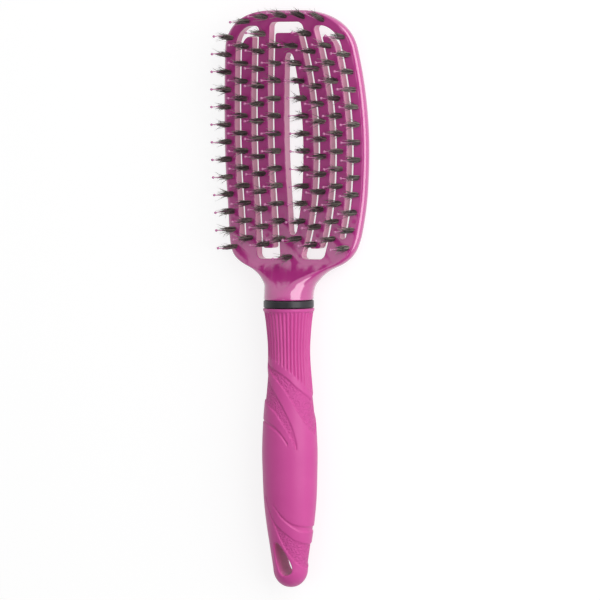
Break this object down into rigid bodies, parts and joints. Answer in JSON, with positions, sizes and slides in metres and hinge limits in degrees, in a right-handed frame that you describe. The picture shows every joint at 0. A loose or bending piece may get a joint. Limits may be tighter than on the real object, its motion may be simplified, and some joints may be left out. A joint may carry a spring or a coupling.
{
  "type": "vent brush",
  "caption": "Vent hair brush: an arched head of interlocking fingers with tufts of boar and ball-tipped quills, a collar ring and a ribbed soft grip with a hanging hole.",
  "frame": {"origin": "under the middle of the brush's length, on the surface it lies on with its bristles up", "axes": "+Y along the handle towards the head, +Z the way the bristles point, +X across the head"},
  "size_m": [0.0686, 0.245, 0.0288],
  "materials": {
    "gloss_magenta": "gloss",
    "gloss_charcoal": "gloss",
    "satin_pink": "satin",
    "boar": "matte",
    "pink_nylon": "gloss"
  },
  "bodies": {
    "root": {"head_frame": "gloss_magenta", "collar_ring": "gloss_charcoal", "grip_sleeve": "satin_pink", "tufts_inner_left": "boar", "tufts_inner_right": "boar", "tufts_hanging_left": "boar", "tufts_hanging_right": "boar", "tufts_standing_left": "boar", "tufts_standing_right": "boar", "tufts_edge_left": "boar", "tufts_edge_right": "boar", "tufts_top": "boar", "tuft_neck": "boar"}
  },
  "joints": []
}
